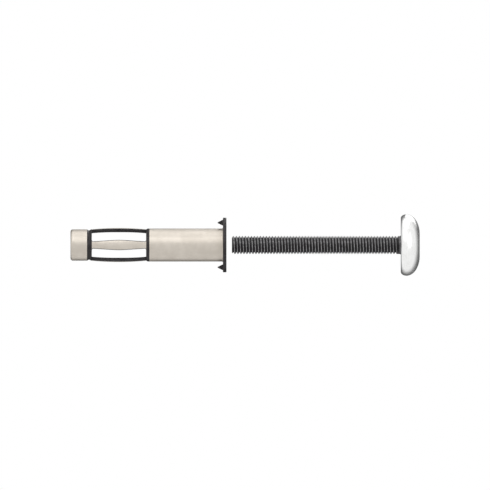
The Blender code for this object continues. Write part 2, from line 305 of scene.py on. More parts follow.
@dataclass(frozen=True)
class RolledThread(MetalFinish):
    """A rolled screw: a bright plated head, and a dark thread with painted highlights on its crests and
    painted shade in its roots.

    The head lies between seat and crown along X. Under it, up to under_height, its colour is darkened as
    painted shade, and so is the cross recess, which reaches recess_reach from the axis.
    """

    seat: float
    crown: float
    head: Colour = (0.95, 0.95, 0.945)
    head_shade: Colour = (0.88, 0.88, 0.87)
    # Painted shade under the head.
    under: Colour = (0.52, 0.52, 0.53)
    # Painted shade in the cross recess.
    recess: Colour = (0.22, 0.22, 0.225)
    # Painted highlight on the thread's crests, painted shade in its roots.
    crest: Colour = (0.33, 0.325, 0.33)
    root: Colour = (0.040, 0.039, 0.041)
    under_height: float = 0.55 * MM
    recess_reach: float = 3.55 * MM
    recess_depth: float = 3.50 * MM
    crest_radius: float = 3.0 * MM
    root_radius: float = 2.49 * MM

    def build(self) -> Material:
        """Makes the material, which goes by the distance from the screw's axis and from its seat.

        Returns:
            The material.
        """
        metal = FinishGraph(self.name, self.metallic)
        along, radius = metal.along_and_radius()
        clouds = metal.ramp(metal.noise(420.0), 0.30, 0.72)
        turning = metal.noise((5200.0, 500.0, 500.0), detail=4.0)
        head = metal.mix(clouds, self.head_shade, self.head)
        head = metal.mix(metal.math("MULTIPLY", turning, 0.22), head, self.head_shade)
        # Painted shade under the head: the seat and the foot of the head's edge are darkened.
        under = metal.ramp(along, self.seat + 0.05 * MM, self.seat + self.under_height, 0.90, 0.0)
        head = metal.mix(under, head, self.under)
        # Painted shade in the cross recess, deepening from its mouth.
        floor = self.crown - self.recess_depth
        sunk = metal.ramp(along, self.crown - 0.10 * MM, self.crown - 0.90 * MM)
        sunk = metal.math("MULTIPLY", sunk, metal.ramp(along, floor - 0.3 * MM, floor - 0.1 * MM))
        inside = metal.ramp(radius, self.recess_reach + 0.1 * MM, self.recess_reach)
        head = metal.mix(metal.math("MULTIPLY", sunk, inside), head, self.recess)
        # Painted highlight and shade on the thread: lightest on the crests, darkest in the roots, with
        # some random tone.
        depth = metal.ramp(radius, self.root_radius, self.crest_radius - 0.02 * MM)
        worn = metal.math("MULTIPLY", depth, metal.ramp(metal.noise(1500.0), 0.25, 0.65, 0.6, 1.0))
        # Painted shadow and grime by the head: the last turns of the thread go darker.
        neck = metal.ramp(along, self.seat - 1.8 * MM, self.seat - 1.1 * MM, 1.0, 0.45)
        worn = metal.math("MULTIPLY", worn, neck)
        thread = metal.mix(metal.math("POWER", worn, 1.8), self.root, self.crest)
        on_head = metal.ramp(along, self.seat - 0.06 * MM, self.seat - 0.01 * MM)
        colour = metal.mix(on_head, thread, head)
        return self.finished(metal, colour, (turning, 0.14), (clouds, -0.04))


@dataclass(frozen=True)
class MachinedSteel(MetalFinish):
    """Dark oiled steel with the fine rings that turning leaves on its faces, ring_pitch apart.

    The bore's thread has a painted highlight at crest_radius and painted shade towards root_radius.
    """

    light: Colour = (0.20, 0.19, 0.18)
    dark: Colour = (0.09, 0.085, 0.08)
    # Painted highlight for the bore's thread crests.
    bright: Colour = (0.46, 0.45, 0.43)
    crest_radius: float = 2.54 * MM
    root_radius: float = 3.04 * MM
    ring_pitch: float = 0.12 * MM

    def build(self) -> Material:
        """Makes the material, which goes by the distance from the nut's axis.

        Returns:
            The material.
        """
        metal = FinishGraph(self.name, self.metallic)
        radius = metal.along_and_radius()[1]
        rings = metal.math("SINE", metal.math("MULTIPLY", radius, 2 * math.pi / self.ring_pitch))
        turning = metal.math("MULTIPLY_ADD", rings, 0.25, metal.noise(2200.0))
        oil = metal.ramp(metal.noise(500.0), 0.35, 0.70)
        colour = metal.mix(metal.math("MULTIPLY", turning, 0.8, clamp=True), self.dark, self.light)
        colour = metal.mix(metal.math("MULTIPLY", oil, 0.35), colour, self.dark)
        # Painted highlight on the bore's crests and painted shade in its roots.
        depth = metal.ramp(radius, self.crest_radius + 0.04 * MM, self.root_radius - 0.20 * MM)
        thread = metal.mix(depth, self.bright, self.dark)
        in_bore = metal.ramp(radius, self.root_radius + 0.02 * MM, self.root_radius + 0.06 * MM)
        return self.finished(metal, metal.mix(in_bore, thread, colour), (turning, 0.12))


def new_object(name: str, bm: BMesh) -> Piece:
    """Turns a bmesh into an object at the origin with its faces out, and frees the bmesh.

    Args:
        name: The object's name.
        bm: The mesh.

    Returns:
        The object, linked to the scene.
    """
    bmesh.ops.recalc_face_normals(bm, faces=bm.faces)
    mesh = bpy.data.meshes.new(name)
    bm.to_mesh(mesh)
    bm.free()
    obj = bpy.data.objects.new(name, mesh)
    bpy.context.scene.collection.objects.link(obj)
    return obj


def set_plain(obj: Piece) -> None:
    """Replaces an object's mesh with its evaluated one and removes its modifiers.

    Args:
        obj: The object.
    """
    graph = bpy.context.evaluated_depsgraph_get()
    graph.update()
    made = bpy.data.meshes.new_from_object(obj.evaluated_get(graph))
    obj.modifiers.clear()
    old = obj.data
    obj.data = made
    made.name = obj.name
    bpy.data.meshes.remove(old)


def turned(name: str, profile: Sequence[Point2], steps: int, closed: bool) -> Piece:
    """Spins a profile about the X axis.

    Args:
        name: The object's name.
        profile: Points as (x, radius).
        steps: Faces round the axis.
        closed: Whether the profile is a loop, which makes a ring.

    Returns:
        The object.
    """
    bm = bmesh.new()
    points = [bm.verts.new((x, 0.0, -radius)) for x, radius in profile]
    pairs = list(zip(points, points[1:]))
    if closed:
        pairs.append((points[-1], points[0]))
    edges = [bm.edges.new(pair) for pair in pairs]
    bmesh.ops.spin(bm, geom=points + edges, axis=(1.0, 0.0, 0.0), angle=2 * math.pi, steps=steps)
    bmesh.ops.remove_doubles(bm, verts=bm.verts, dist=MERGE_DISTANCE)
    return new_object(name, bm)


def quarter_turns(steps: int) -> list[float]:
    """Angles from 0 to 90 degrees in equal steps."""
    return [math.pi / 2 * step / steps for step in range(steps + 1)]


def even_shading(obj: Piece) -> None:
    """Shades an object smoothly, its flat faces flat and its sharp edges kept, as a plain mesh.

    Args:
        obj: The object.
    """
    obj.data.shade_smooth()
    obj.data.set_sharp_from_angle(angle=SHARP_ANGLE)
    obj.modifiers.new("even_shading", "WEIGHTED_NORMAL").keep_sharp = True
    set_plain(obj)


def add_bevel(obj: Piece, width: float, sharp_degrees: float) -> None:
    """Rounds an object's sharp edges with a live Bevel.

    Args:
        obj: The object.
        width: How wide the round is.
        sharp_degrees: The least angle of an edge that is rounded.
    """
    bevel = obj.modifiers.new("broken_edges", "BEVEL")
    bevel.offset_type = "WIDTH"
    bevel.width = width
    bevel.segments = BEVEL_SEGMENTS
    bevel.limit_method = "ANGLE"
    bevel.angle_limit = math.radians(sharp_degrees)
    bevel.use_clamp_overlap = False
    bevel.miter_outer = "MITER_ARC"


def dress(obj: Piece, material: Material) -> None:
    """Gives an object one material all over.

    Args:
        obj: The object.
        material: The material.
    """
    obj.data.materials.clear()
    obj.data.materials.append(material)
    obj.data.polygons.foreach_set("material_index", [0] * len(obj.data.polygons))


@dataclass
class Station:
    """One ring of the sleeve's sheet.

    Attributes:
        outer: An (x, radius) on the sheet's outer face.
        inner: The one across the sheet from it.
        leg_angle: Half the angle that a leg's columns take up here.
        slotted: Whether the slots are open from this ring to the next.
        window_side: 1 along the outer side of the flange's windows, -1 along the inner, else 0.
        gathered: Whether its columns close up round the windows.
        rubbed: How far rolling wear and painted shade darken the coat here, from 0 to 1.
    """

    outer: Point2
    inner: Point2
    leg_angle: float
    slotted: bool = False
    window_side: int = 0
    gathered: bool = False
    rubbed: float = 0.0


@dataclass
class AnchorSleeve:
    """The one-piece sleeve: flange and prongs, barrel, four legs, collar and rolled end.

    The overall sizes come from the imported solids, and the others are the sheet's own sizes.
    """

    low: Vector
    high: Vector
    nut_high: Vector
    nut_clearance: float = 0.22 * MM
    shoulder_step: float = 0.28 * MM
    shoulder_ramp: float = 0.60 * MM
    slot_length: float = 18.10 * MM
    collar_length: float = 7.10 * MM
    leg_width_end: float = 2.40 * MM
    leg_width_middle: float = 3.45 * MM
    leg_peak_rounding: float = 1.10 * MM
    leg_bow: float = 0.43 * MM
    slot_corner: float = 0.50 * MM
    flange_fillet: float = 0.35 * MM
    rim_round: float = 0.15 * MM
    rim_inset: float = 0.25 * MM
    groove_margin: float = 0.10 * MM
    groove_width: float = 1.60 * MM
    groove_depth: float = 0.33 * MM
    end_round: float = 0.80 * MM
    lip_radius: float = 3.40 * MM
    prong_width: float = 2.00 * MM
    prong_length: float = 1.75 * MM
    prong_bend: float = 0.15 * MM
    prong_relief: float = 0.12 * MM
    prong_tip: float = 0.16 * MM
    prong_shares: tuple[float, ...] = (0.35, 0.70, 1.0)
    window_margin: float = 0.50 * MM
    # How far the dark mark of rolling wear and painted shade reaches before the shoulder, how much of it
    # is full, and how fast it fades at the groove's far side.
    wear_and_shade_reach: float = 0.60 * MM
    wear_and_shade_full: float = 0.7
    wear_and_shade_fade: float = 8.0
    edge_round: float = 0.04 * MM
    sharp_degrees: float = 42.0
    leg_count: int = 4
    prong_sectors: tuple[int, ...] = (1, 3)
    leg_columns: int = 12
    slot_columns: int = 24
    bend_steps: int = 9
    corner_steps: int = 4
    end_steps: int = 8
    leg_steps: int = 30
    groove_steps: int = 18
    barrel_steps: int = 8

    def __post_init__(self) -> None:
        """Works out the sizes that follow from the others."""
        self.sheet = self.high.x
        self.flange_radius = self.high.z
        self.end = self.low.x
        self.collar_bore = self.nut_high.z + self.nut_clearance
        self.collar_radius = self.collar_bore + self.sheet
        self.barrel_radius = self.collar_radius + self.shoulder_step
        self.slot_end = self.end + self.collar_length
        self.slot_start = self.slot_end + self.slot_length
        self.flat_inner = self.barrel_radius + self.flange_fillet
        self.flat_outer = self.flange_radius - self.rim_round
        self.prong_radius = (self.flat_inner + self.flat_outer) / 2
        self.fold_angle = math.asin((self.prong_bend + self.sheet / 2) / self.prong_radius)
        self.window_shoulder = self.prong_bend + self.sheet + self.prong_relief
        self.window_depth = self.window_shoulder + self.prong_length - self.prong_bend
        self.sector_columns = self.leg_columns + self.slot_columns
        self.sector_angle = 2 * math.pi / self.leg_count
        self.column_count = self.leg_count * self.sector_columns
        quarter = self.leg_columns // 4
        self.window_places = (quarter, 2 * quarter, 3 * quarter)
        beyond_tip = math.atan((self.window_depth + self.window_margin) / self.prong_radius)
        self.window_spread = max(self.fold_angle, beyond_tip - self.fold_angle)
        self.leg_root_angle = math.asin((self.leg_width_end / 2 + self.slot_corner) / self.collar_radius)
        outline = (self.window_depth, self.window_shoulder, 0.0)
        angles = [self.fold_angle - math.atan(aside / self.prong_radius) for aside in outline]
        places = (0, *self.window_places, self.leg_columns)
        self.window_marks = tuple(zip(places, (-self.window_spread, *angles, self.window_spread)))
        self.stations = self.flange_stations() + self.barrel_stations()
        self.stations += self.leg_stations() + self.collar_stations()

    def straight(self, x: float, radius: float, angle: float, **marks: Any) -> Station:
        """A ring whose two points stand straight across the sheet from each other."""
        return Station((x, radius), (x, radius - self.sheet), angle, **marks)

    def flange_stations(self) -> list[Station]:
        """Goes from the rim inwards over the flange, and round the bend into the barrel.

        Returns:
            The rings.
        """
        spread = self.window_spread
        rim = (self.rim_round, self.flange_radius), (self.sheet - self.rim_round, self.flange_radius)
        stations = [Station(*rim, spread)]
        inset = self.flat_outer - self.rim_inset
        middle, half = self.prong_radius, self.prong_width / 2
        for radius, side in ((self.flat_outer, 0), (inset, 0), (middle + half, 1), (middle - half, -1)):
            faces = (0.0, radius), (self.sheet, radius)
            gathered = radius < self.flat_outer
            stations.append(Station(*faces, spread, window_side=side, gathered=gathered))
        for turn in quarter_turns(self.bend_steps):
            faces = []
            for reach in (self.flange_fillet, self.flange_fillet + self.sheet):
                x = reach * math.cos(turn) - self.flange_fillet
                faces.append((x, self.flat_inner - reach * math.sin(turn)))
            stations.append(Station(*faces, spread, gathered=turn == 0.0))
        return stations

    def barrel_stations(self) -> list[Station]:
        """Goes along the barrel, and its end drawn in to the diameter of the legs.

        Returns:
            The rings.
        """
        start = -self.flange_fillet
        stop = self.slot_start + self.shoulder_ramp
        spread, root = self.window_spread, self.leg_root_angle
        stations = []
        places = [(step / self.barrel_steps, 0.0) for step in range(1, self.barrel_steps)]
        # The last rings before the shoulder, and the shoulder itself, are marked dark: rolling wear and
        # painted shade where the barrel steps down to the legs.
        reach = self.wear_and_shade_reach / (start - stop)
        for share, rubbed in places + [(1 - reach, 0.0), (1 - self.wear_and_shade_full * reach, 1.0)]:
            x, angle = start + (stop - start) * share, spread + (root - spread) * share
            stations.append(self.straight(x, self.barrel_radius, angle, rubbed=rubbed))
        for step in range(self.bend_steps):
            share = step / self.bend_steps
            x = stop - self.shoulder_ramp * share
            radius = self.barrel_radius - self.shoulder_step * (1 - math.cos(math.pi * share)) / 2
            stations.append(self.straight(x, radius, root, rubbed=1.0))
        return stations

    def leg_half_width(self, along: float) -> float:
        """Half a leg's width at a distance along its slots.

        Args:
            along: The distance from the slots' end at the barrel.

        Returns:
            The half width: greatest in the middle, and flared into both ends.
        """
        from_middle = abs(2 * along / self.slot_length - 1)
        peak = 2 * self.leg_peak_rounding / self.slot_length
        fall = math.hypot(from_middle, peak) - peak
        share = 1 - fall / (math.hypot(1, peak) - peak)
        half = (self.leg_width_end + (self.leg_width_middle - self.leg_width_end) * share) / 2
        from_end = min(along, self.slot_length - along)
        if from_end >= self.slot_corner:
            return half
        across = self.slot_corner - from_end
        return half + self.slot_corner - math.sqrt(max(self.slot_corner**2 - across**2, 0.0))

    def leg_stations(self) -> list[Station]:
        """Goes along the slots, with rings close together round the corners at both ends.

        Returns:
            The rings.
        """
        corner = [self.slot_corner * (1 - math.cos(turn)) for turn in quarter_turns(self.corner_steps)]
        length = self.slot_length - 2 * self.slot_corner
        steps = range(1, self.leg_steps)
        middle = [self.slot_corner + length * step / self.leg_steps for step in steps]
        stations = []
        for along in corner + middle + [self.slot_length - place for place in reversed(corner)]:
            radius = self.collar_radius + self.leg_bow * (1 - (2 * along / self.slot_length - 1) ** 2)
            angle = math.asin(self.leg_half_width(along) / radius)
            stations.append(self.straight(self.slot_start - along, radius, angle, slotted=True))
        stations[-1].slotted = False
        # The slots' end at the collar is marked dark too: rolling wear and painted shade.
        stations[-1].rubbed = 1.0
        return stations

    def collar_stations(self) -> list[Station]:
        """Goes over the crimped groove, the plain collar and the end rolled in over the nut.

        Returns:
            The rings.
        """
        angle = self.leg_root_angle
        start = self.slot_end - self.groove_margin
        stations = []
        for step in range(self.groove_steps + 1):
            share = step / self.groove_steps
            sunk = (1 - math.cos(2 * math.pi * share)) / 2
            radius = self.collar_radius - self.groove_depth * sunk
            # The crimped groove is marked dark, fading out at its far side: rolling wear and painted shade
            # in the groove.
            rubbed = min(1.0, self.wear_and_shade_fade * (1 - share))
            stations.append(self.straight(start - self.groove_width * share, radius, angle, rubbed=rubbed))
        inner_round = min(self.end_round / 4, (self.collar_bore - self.lip_radius) / 2)
        for turn in quarter_turns(self.end_steps):
            rise, run = math.cos(turn), math.sin(turn)
            outer_x = self.end + self.end_round * (1 - run)
            outer = (outer_x, self.collar_radius - self.end_round * (1 - rise))
            inner_x = self.end + self.sheet + inner_round * (1 - run)
            inner = (inner_x, self.collar_bore - inner_round * (1 - rise))
            stations.append(Station(outer, inner, angle))
        lip = (self.end, self.lip_radius), (self.end + self.sheet, self.lip_radius)
        stations.append(Station(*lip, angle))
        return stations

    def window_angle(self, place: int) -> float:
        """Finds a column's place beside a flange window.

        Args:
            place: The column, counted from the first of its leg.

        Returns:
            Its angle from the middle of the leg.
        """
        for (near, low), (far, high) in zip(self.window_marks, self.window_marks[1:]):
            if place <= far:
                break
        return low + (high - low) * (place - near) / (far - near)

    def column_angle(self, column: int, station: Station) -> float:
        """The angle of a column about the X axis.

        Args:
            column: The column, counted round the sleeve.
            station: The ring that it crosses.

        Returns:
            The angle from +Y towards +Z.
        """
        sector, place = divmod(column, self.sector_columns)
        middle, half = sector * self.sector_angle, station.leg_angle
        if place > self.leg_columns:
            share = (place - self.leg_columns) / self.slot_columns
            return middle + half + share * (self.sector_angle - 2 * half)
        if station.gathered and sector in self.prong_sectors:
            return middle + self.window_angle(place)
        return middle + half * (2 * place / self.leg_columns - 1)

    def fold_point(self, sector: int, out: float, aside: float, x: float) -> Vector:
        """A point given from the line that a prong is folded on.

        Args:
            sector: Which leg the prong is in line with.
            out: The distance from the X axis along the fold's own direction.
            aside: The distance from the fold towards the window's point.
            x: The place along X.

        Returns:
            The point.
        """
        angle = sector * self.sector_angle + self.fold_angle
        radial = Vector((0.0, math.cos(angle), math.sin(angle)))
        sideways = Vector((0.0, math.sin(angle), -math.cos(angle)))
        return out * radial + aside * sideways + Vector((x, 0.0, 0.0))

    def window_point(self, station: Station, column: int, x: float) -> Optional[Vector]:
        """Finds the edge of a flange window on a ring.

        Args:
            station: The ring.
            column: The column, counted round the sleeve.
            x: The place along X.

        Returns:
            The point, or None where the grid is plain.
        """
        sector, place = divmod(column, self.sector_columns)
        tip, taper, fold = self.window_places
        if not station.window_side or sector not in self.prong_sectors or not tip <= place <= fold:
            return None
        if place <= taper:
            share = (place - tip) / (taper - tip)
            aside = self.window_depth + (self.window_shoulder - self.window_depth) * share
            width = self.prong_tip + (self.prong_width - self.prong_tip) * share
        else:
            aside = self.window_shoulder * (fold - place) / (fold - taper)
            width = self.prong_width
        out = self.prong_radius + station.window_side * width / 2
        return self.fold_point(sector, out, aside, x)

    def is_open(self, row: int, column: int) -> bool:
        """Says whether a cell is cut out, as a slot or a window.

        Args:
            row: The ring before the cell.
            column: The column before it.

        Returns:
            Whether it is.
        """
        sector, place = divmod(column % self.column_count, self.sector_columns)
        if not 0 <= row < len(self.stations) - 1:
            return False
        if self.stations[row].window_side == 1:
            tip, _, fold = self.window_places
            return sector in self.prong_sectors and tip <= place < fold
        return self.stations[row].slotted and place >= self.leg_columns

    def layer_points(self, layer: Layer) -> Grid:
        """Adds the grid of points on one face of the sheet.

        Args:
            layer: Which face.

        Returns:
            The points by ring and column.
        """
        worn = self.bm.verts.layers.float["rubbed"]
        grid = []
        for station in self.stations:
            x, radius = getattr(station, layer.value)
            ring = []
            for column in range(self.column_count):
                angle = self.column_angle(column, station)
                place = self.window_point(station, column, x)
                if place is None:
                    place = Vector((x, radius * math.cos(angle), radius * math.sin(angle)))
                point = self.bm.verts.new(place)
                # Only the outer face carries the mark of rolling wear and painted shade.
                point[worn] = station.rubbed if layer is Layer.OUTER else 0.0
                ring.append(point)
            grid.append(ring)
        return grid

    def add_face(self, points: Sequence[Vert], region: Region) -> None:
        """Adds one face and marks what it is."""
        self.bm.faces.new(points).material_index = region.value

    def prong_section(self, sector: int, turn: float, reach: float, half: float) -> list[Vert]:
        """Adds four corners of the folded tab.

        Args:
            sector: Which leg the prong is in line with.
            turn: How far round the bend they are.
            reach: How far past the bend they are.
            half: Half the tab's width there.

        Returns:
            The corners: top and foot on the back face, then foot and top on the front one.
        """
        corners = []
        for thick, sides in ((0.0, (1, -1)), (self.sheet, (-1, 1))):
            aside = (self.prong_bend + thick) * math.sin(turn)
            x = (self.prong_bend + thick) * math.cos(turn) - self.prong_bend - reach
            for side in sides:
                out = self.prong_radius + side * half
                corners.append(self.bm.verts.new(self.fold_point(sector, out, aside, x)))
        return corners

    def add_prong(self, sector: int, root: list[Vert]) -> None:
        """Folds a tab back from the four corners at its root.

        Args:
            sector: Which leg the prong is in line with.
            root: The corners where it leaves the flange.
        """
        sections = [root]
        wide = self.prong_width / 2 - self.prong_relief
        for turn in quarter_turns(self.bend_steps)[1:]:
            sections.append(self.prong_section(sector, turn, 0.0, wide))
        reach = self.prong_length - self.prong_bend
        for share in self.prong_shares:
            half = wide + (self.prong_tip / 2 - wide) * share
            sections.append(self.prong_section(sector, math.pi / 2, reach * share, half))
        for near, far in zip(sections, sections[1:]):
            for i in range(4):
                k = (i + 1) % 4
                self.add_face((near[i], near[k], far[k], far[i]), Region.PRONG)
        self.add_face(sections[-1], Region.PRONG)

    def add_walls(self, row: int, column: int) -> None:
        """Adds walls across the sheet where an open cell borders on metal, or the prong on its fold.

        Args:
            row: The open cell's ring.
            column: Its column.
        """
        outer, inner = self.grids
        after = (column + 1) % self.column_count
        borders = (
            (row - 1, column, (row, column), (row, after)),
            (row + 1, column, (row + 1, column), (row + 1, after)),
            (row, column - 1, (row, column), (row + 1, column)),
            (row, column + 1, (row, after), (row + 1, after)),
        )
        for next_row, next_column, (row_a, column_a), (row_b, column_b) in borders:
            if self.is_open(next_row, next_column):
                continue
            wall = [outer[row_a][column_a], outer[row_b][column_b]]
            wall += [inner[row_b][column_b], inner[row_a][column_a]]
            on_fold = column_a == column_b and column_a % self.sector_columns == self.window_places[-1]
            if on_fold and self.stations[row].window_side == 1:
                self.add_prong(column // self.sector_columns, wall)
            else:
                self.add_face(wall, Region.SHEARED)

    def build(self, finish: CoatedStrip) -> Piece:
        """Makes the sleeve and dresses it.

        Args:
            finish: The sheet's finish.

        Returns:
            The finished object.
        """
        self.bm = bmesh.new()
        self.bm.verts.layers.float.new("rubbed")
        self.grids = [self.layer_points(layer) for layer in Layer]
        outer, inner = self.grids
        last = len(self.stations) - 1
        for column in range(self.column_count):
            after = (column + 1) % self.column_count
            for row in range(last):
                if self.is_open(row, column):
                    self.add_walls(row, column)
                    continue
                for grid in self.grids:
                    below = grid[row + 1]
                    cell = (grid[row][column], grid[row][after], below[after], below[column])
                    self.add_face(cell, Region.COATED)
            for row in (0, last):
                edge = (outer[row][column], outer[row][after], inner[row][after], inner[row][column])
                self.add_face(edge, Region.SHEARED)
        unused = [point for point in self.bm.verts if not point.link_faces]
        bmesh.ops.delete(self.bm, geom=unused, context="VERTS")
        obj = new_object("anchor_sleeve_sheet", self.bm)
        for region in Region:
            obj.data.materials.append(bpy.data.materials.new(region.name))
        obj.data.shade_smooth()
        add_bevel(obj, self.edge_round, self.sharp_degrees)
        obj.modifiers.new("close_slivers", "WELD").merge_threshold = SLIVER
        obj.modifiers.new("even_shading", "WEIGHTED_NORMAL").keep_sharp = True
        set_plain(obj)
        self.mark_edges(obj.data)
        dress(obj, finish.build())
        return obj

    def mark_edges(self, mesh: bpy.types.Mesh) -> None:
        """Stores each point's distance from a sheared face, and rubs the prongs bare.

        Args:
            mesh: The finished sleeve's mesh, its faces still marked with their regions.
        """
        points: dict[int, set[int]] = {region.value: set() for region in Region}
        for face in mesh.polygons:
            points[face.material_index].update(face.vertices)
        sheared = points[Region.SHEARED.value]
        tree = KDTree(len(sheared))
        for number in sheared:
            tree.insert(mesh.vertices[number].co, number)
        tree.balance()
        distances = [tree.find(vertex.co)[2] for vertex in mesh.vertices]
        mesh.attributes.new("edge_distance", "FLOAT", "POINT").data.foreach_set("value", distances)
        rubbed = mesh.attributes["rubbed"]
        for number in points[Region.PRONG.value]:
            rubbed.data[number].value = 1.0


@dataclass(frozen=True)
class ThreadForm:
    """The metric thread that the screw and the nut share.

    Attributes:
        pitch: The distance between turns.
        major: The outside radius of the screw's thread.
        depth: How deep the screw's grooves are.
        crest: The width of the screw's crests.
        nut_minor: The radius of the nut's crests.
        play: How far the nut's grooves stay clear of the screw's crests.
        mouth_over: How far a groove's cutter stands out of the blank.
        lead_in: How far before the screw's tip a groove would pass straight above the axis.
        steps: Faces to a turn.
    """

    pitch: float = 1.0 * MM
    major: float = 3.0 * MM
    depth: float = 0.53 * MM
    crest: float = 0.20 * MM
    nut_minor: float = 2.54 * MM
    play: float = 0.04 * MM
    mouth_over: float = 0.03 * MM
    lead_in: float = 1.98 * MM
    steps: int = 64

    def half_width(self, radius: float) -> float:
        """Half the width of the screw's crests at a radius, between flanks at 60 degrees."""
        return self.crest / 2 + (self.major - radius) * math.tan(math.radians(30))

    def groove(self, side: ThreadSide) -> tuple[Point2, Point2]:
        """The floor and the mouth of a groove, each as (radius, half width).

        Args:
            side: The screw's thread or the nut's.

        Returns:
            The floor, then the mouth a little beyond the blank's surface.
        """
        if side is ThreadSide.EXTERNAL:
            floor, mouth = self.major - self.depth, self.major + self.mouth_over
            widths = [self.pitch / 2 - self.half_width(radius) for radius in (floor, mouth)]
        else:
            floor, mouth = self.major + self.play, self.nut_minor - self.mouth_over
            widths = [self.half_width(radius - self.play) for radius in (floor, mouth)]
        return (floor, widths[0]), (mouth, widths[1])


class ThreadCutter:
    """A Geometry Nodes tree that cuts a helical groove along the X axis into the mesh it is given."""

    GROOVE = ("Floor Radius", "Floor Half", "Mouth Radius", "Mouth Half")
    SIZES = ("Pitch", "Start", "Turns", *GROOVE, "Run Out")
    INPUTS = dict.fromkeys(SIZES, "Float") | {"Steps": "Int", "Material": "Material"}

    def __init__(self, form: ThreadForm) -> None:
        """Builds the tree.

        Args:
            form: The form of thread that it cuts.
        """
        self.form = form
        self.tree = bpy.data.node_groups.new("thread_cutter", "GeometryNodeTree")
        self.sockets: dict[str, str] = {}
        self._declare()
        self._build()

    def _declare(self) -> None:
        face = self.tree.interface
        face.new_socket("Geometry", in_out="INPUT", socket_type="NodeSocketGeometry")
        for name, kind in self.INPUTS.items():
            socket = face.new_socket(name, in_out="INPUT", socket_type="NodeSocket" + kind)
            self.sockets[name] = socket.identifier
        face.new_socket("Geometry", in_out="OUTPUT", socket_type="NodeSocketGeometry")

    def _build(self) -> None:
        """Adds the nodes: a helix, a groove swept along it, and the cut."""
        graph = NodeGraph(self.tree)
        given = graph.add("NodeGroupInput").outputs
        points = graph.math("ADD", graph.math("MULTIPLY", given["Turns"], given["Steps"]), 1.0)
        line = graph.add("GeometryNodeCurvePrimitiveLine").outputs[0]
        line = graph.add("GeometryNodeResampleCurve", {"Curve": line, "Count": points}).outputs[0]
        turned_by = graph.math("DIVIDE", graph.add("GeometryNodeInputIndex").outputs[0], given["Steps"])
        angle = graph.math("MULTIPLY", turned_by, 2 * math.pi)
        left = graph.math("SUBTRACT", given["Turns"], turned_by)
        lift = graph.math("SUBTRACT", 1.0, graph.math("DIVIDE", left, given["Run Out"], clamp=True))
        depth = graph.math("SUBTRACT", given["Mouth Radius"], given["Floor Radius"])
        radius = graph.math("MULTIPLY_ADD", lift, depth, given["Floor Radius"])
        along = graph.math("MULTIPLY_ADD", turned_by, given["Pitch"], given["Start"])
        sides = [graph.math("MULTIPLY", graph.math(side, angle), radius) for side in ("COSINE", "SINE")]
        place = graph.add("ShaderNodeCombineXYZ", dict(enumerate((*sides, along)))).outputs[0]
        helix = graph.add("GeometryNodeSetPosition", {"Geometry": line, "Position": place}).outputs[0]
        level = graph.add("GeometryNodeSetCurveNormal", {"Curve": helix}, mode="Z_UP").outputs[0]
        groove = self._groove_outline(graph, given, depth)
        sweep = {"Curve": level, "Profile Curve": groove, "Fill Caps": True}
        cutter = graph.add("GeometryNodeCurveToMesh", sweep).outputs[0]
        laid = {"Geometry": cutter, "Rotation": (0.0, math.pi / 2, 0.0)}
        tool = graph.add("GeometryNodeTransform", laid).outputs[0]
        meshes = {"Mesh 1": given["Geometry"], "Mesh 2": tool}
        how = {"operation": "DIFFERENCE", "solver": "MANIFOLD"}
        cut = graph.add("GeometryNodeMeshBoolean", meshes, **how).outputs[0]
        real = graph.add("GeometryNodeRealizeInstances", {0: cut}).outputs[0]
        final = graph.add("GeometryNodeSetMaterial", {"Geometry": real, "Material": given["Material"]})
        graph.add("NodeGroupOutput", {0: final.outputs[0]})

    def _groove_outline(self, graph: NodeGraph, given: Any, depth: Socket) -> Socket:
        """The groove's four-sided outline, its floor on the helix and its mouth beyond it.

        The outline runs the same way round whether the groove opens outwards or inwards, so that
        the swept cutter's faces point out.

        Args:
            graph: The tree's graph.
            given: The tree's input sockets.
            depth: How far the mouth is from the floor, away from the axis.

        Returns:
            The outline's curve.
        """
        mouth, floor = (depth, "Mouth Half"), (0.0, "Floor Half")
        opening = graph.math("SIGN", depth)
        corners = {}
        for (out, half), side in ((floor, -1.0), (mouth, -1.0), (mouth, 1.0), (floor, 1.0)):
            aside = graph.math("MULTIPLY", graph.math("MULTIPLY", given[half], side), opening)
            corner = graph.add("ShaderNodeCombineXYZ", {0: out, 1: aside}).outputs[0]
            corners[f"Point {len(corners) + 1}"] = corner
        return graph.add("GeometryNodeCurvePrimitiveQuadrilateral", corners, mode="POINTS").outputs[0]

    def cut(
        self, obj: Piece, side: ThreadSide, start: float, turns: float, run_out: float, material: Material
    ) -> None:
        """Cuts the thread into an object and leaves it a plain mesh.

        Args:
            obj: The blank.
            side: The screw's thread or the nut's.
            start: Where along X the groove begins.
            turns: How many turns it makes towards +X.
            run_out: How many turns it takes to rise out of the metal at its end.
            material: What the result is made of.
        """
        floor, mouth = self.form.groove(side)
        values = (self.form.pitch, start, turns, *floor, *mouth, run_out, self.form.steps, material)
        modifier = obj.modifiers.new("thread", "NODES")
        modifier.node_group = self.tree
        for name, value in zip(self.INPUTS, values):
            modifier[self.sockets[name]] = value
        set_plain(obj)
        dress(obj, material)


